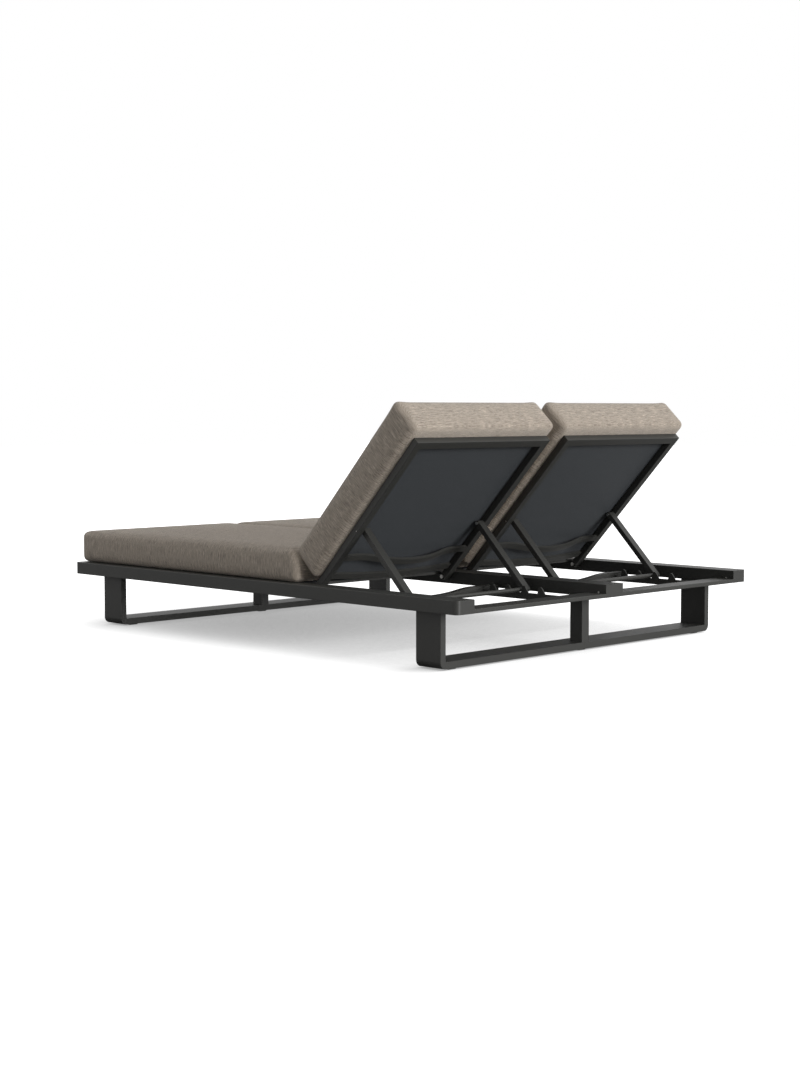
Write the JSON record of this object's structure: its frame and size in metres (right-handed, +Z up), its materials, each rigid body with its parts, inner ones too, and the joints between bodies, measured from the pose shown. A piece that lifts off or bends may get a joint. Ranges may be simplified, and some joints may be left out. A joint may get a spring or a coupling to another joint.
{
  "type": "double chaise lounger",
  "caption": "Low outdoor double lounger: two sling backs recline on swinging props and racks, over box cushions and U-shaped leg loops.",
  "frame": {"origin": "on the floor under the middle of the whole lounger, at the bottom centre of its box", "axes": "+X across, towards the left of someone lying on it with head at the +Y end; +Y along, towards the head end; +Z up"},
  "size_m": [1.6, 2.08, 0.8646],
  "materials": {
    "frame_metal": "matte",
    "sling_fabric": "matte",
    "cushion_fabric": "matte",
    "plastic": "matte",
    "fastener": "satin"
  },
  "bodies": {
    "frame": {"left_side_rail": "frame_metal", "right_side_rail": "frame_metal", "centre_rail": "frame_metal", "rail_end_blocks": "frame_metal", "left_head_cross_rail": "frame_metal", "right_head_cross_rail": "frame_metal", "left_foot_cross_rail": "frame_metal", "right_foot_cross_rail": "frame_metal", "head_leg_loop": "frame_metal", "foot_leg_loop": "frame_metal", "head_centre_leg": "frame_metal", "foot_centre_leg": "frame_metal", "head_glides": "plastic", "foot_glides": "plastic", "frame_screws": "fastener", "back_pivot_bolts": "fastener", "back_pivot_washers": "plastic", "left_seat_rear_bar": "frame_metal", "left_seat_spreaders": "frame_metal", "left_seat_sling": "sling_fabric", "left_seat_cushion": "cushion_fabric", "left_rack_bar": "frame_metal", "left_inner_rack": "frame_metal", "left_outer_rack": "frame_metal", "right_seat_rear_bar": "frame_metal", "right_seat_spreaders": "frame_metal", "right_seat_sling": "sling_fabric", "right_seat_cushion": "cushion_fabric", "right_rack_bar": "frame_metal", "right_inner_rack": "frame_metal", "right_outer_rack": "frame_metal"},
    "left_back": {"left_inner_arm": "frame_metal", "left_outer_arm": "frame_metal", "left_back_top_rail": "frame_metal", "left_back_spreader": "frame_metal", "left_back_lower_bar": "frame_metal", "left_back_sling": "sling_fabric", "left_back_cushion": "cushion_fabric", "left_prop_bolts": "fastener", "left_prop_washers": "plastic"},
    "left_prop": {"left_inner_strut": "frame_metal", "left_outer_strut": "frame_metal", "left_prop_rod": "frame_metal"},
    "right_back": {"right_inner_arm": "frame_metal", "right_outer_arm": "frame_metal", "right_back_top_rail": "frame_metal", "right_back_spreader": "frame_metal", "right_back_lower_bar": "frame_metal", "right_back_sling": "sling_fabric", "right_back_cushion": "cushion_fabric", "right_prop_bolts": "fastener", "right_prop_washers": "plastic"},
    "right_prop": {"right_inner_strut": "frame_metal", "right_outer_strut": "frame_metal", "right_prop_rod": "frame_metal"}
  },
  "joints": [
    {"name": "left_back_hinge", "type": "hinge", "parent": "frame", "child": "left_back", "pos_m": [0.3826, 0.2875, 0.2254], "axis": [1, 0, 0], "range_deg": [-46.9, 18.1]},
    {"name": "left_prop_hinge", "type": "hinge", "parent": "left_back", "child": "left_prop", "pos_m": [0.3826, 0.49059, 0.43526], "axis": [1, 0, 0], "range_deg": [-35, 90.6]},
    {"name": "right_back_hinge", "type": "hinge", "parent": "frame", "child": "right_back", "pos_m": [-0.3826, 0.2875, 0.2254], "axis": [1, 0, 0], "range_deg": [-46.9, 18.1]},
    {"name": "right_prop_hinge", "type": "hinge", "parent": "right_back", "child": "right_prop", "pos_m": [-0.3826, 0.49059, 0.43526], "axis": [1, 0, 0], "range_deg": [-35, 90.6]}
  ],
  "couplings": [
    {"joint": "left_prop_hinge", "follows": "left_back_hinge", "ratio": -1.9276},
    {"joint": "right_prop_hinge", "follows": "right_back_hinge", "ratio": -1.9276}
  ]
}
